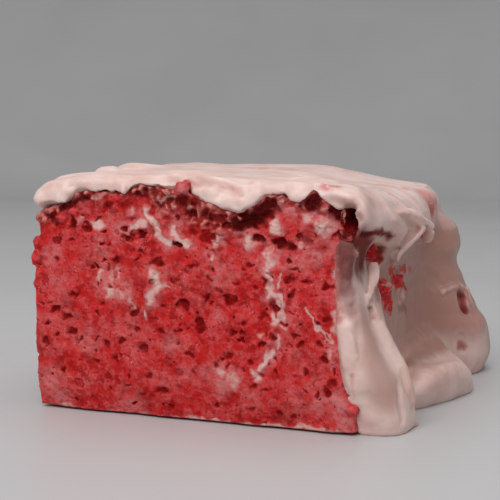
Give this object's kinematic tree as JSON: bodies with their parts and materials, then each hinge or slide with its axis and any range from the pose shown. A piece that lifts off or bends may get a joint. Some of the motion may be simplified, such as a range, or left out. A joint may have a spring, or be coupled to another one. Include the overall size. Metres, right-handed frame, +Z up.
{
  "type": "strawberry cake",
  "caption": "Cut corner piece of strawberry sheet cake: red crumb on the cut faces, pink frosting over the top, side and back, pooling at the foot.",
  "frame": {"origin": "middle of the crumb block's flat underside, on the face the piece rests on", "axes": "+Z up; -Y out of the cut front face; +X out of the frosted side"},
  "size_m": [0.0986, 0.0992, 0.0581],
  "materials": {
    "crumb": "moist open red cake crumb, matte",
    "frosting": "soft pale pink frosting, satin"
  },
  "bodies": {
    "root": {"sponge": "crumb", "frosting": "frosting"}
  },
  "joints": []
}
